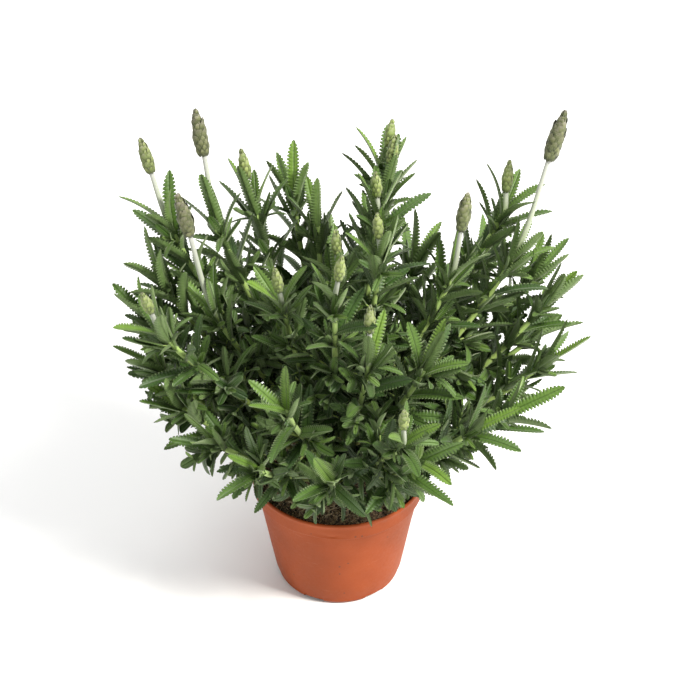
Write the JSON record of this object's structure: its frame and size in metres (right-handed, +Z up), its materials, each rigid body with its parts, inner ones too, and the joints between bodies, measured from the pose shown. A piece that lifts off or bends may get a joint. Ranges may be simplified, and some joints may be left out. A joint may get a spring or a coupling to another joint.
{
  "type": "potted lavender",
  "caption": "Toothed lavender in bud in a round tapered nursery pot: leafy shoots and stalked flower heads rising from a woody crown set in soil.",
  "frame": {"origin": "centre of the flat underside of the pot", "axes": "+Z up along the pot's axis; -Y towards the side with the most low, spreading leaves; +X towards the tallest flower head"},
  "size_m": [0.3424, 0.304, 0.3724],
  "materials": {
    "terracotta_plastic": "satin",
    "peat_soil": "matte",
    "woody_base": "matte",
    "leaf_green": "matte",
    "bud_green": "matte"
  },
  "bodies": {
    "root": {"crown": "woody_base", "flower_spike_01": "bud_green", "flower_spike_02": "bud_green", "flower_spike_03": "bud_green", "flower_spike_04": "bud_green", "flower_spike_05": "bud_green", "flower_spike_06": "bud_green", "flower_spike_07": "bud_green", "flower_spike_08": "bud_green", "flower_spike_09": "bud_green", "flower_spike_10": "bud_green", "flower_spike_11": "bud_green", "flower_spike_12": "bud_green", "flower_spike_13": "bud_green", "flower_spike_14": "bud_green", "flower_spike_15": "bud_green", "flower_spike_16": "bud_green", "flower_spike_17": "bud_green", "pot": "terracotta_plastic", "shoot_01": "leaf_green", "shoot_02": "leaf_green", "shoot_03": "leaf_green", "shoot_04": "leaf_green", "shoot_05": "leaf_green", "shoot_06": "leaf_green", "shoot_07": "leaf_green", "shoot_08": "leaf_green", "shoot_09": "leaf_green", "shoot_10": "leaf_green", "shoot_11": "leaf_green", "shoot_12": "leaf_green", "shoot_13": "leaf_green", "shoot_14": "leaf_green", "shoot_15": "leaf_green", "shoot_16": "leaf_green", "shoot_17": "leaf_green", "shoot_18": "leaf_green", "shoot_19": "leaf_green", "shoot_20": "leaf_green", "shoot_21": "leaf_green", "shoot_22": "leaf_green", "shoot_23": "leaf_green", "shoot_24": "leaf_green", "shoot_25": "leaf_green", "shoot_26": "leaf_green", "shoot_27": "leaf_green", "shoot_28": "leaf_green", "shoot_29": "leaf_green", "shoot_30": "leaf_green", "shoot_31": "leaf_green", "shoot_32": "leaf_green", "shoot_33": "leaf_green", "shoot_34": "leaf_green", "shoot_35": "leaf_green", "shoot_36": "leaf_green", "shoot_37": "leaf_green", "shoot_38": "leaf_green", "shoot_39": "leaf_green", "soil": "peat_soil"}
  },
  "joints": []
}
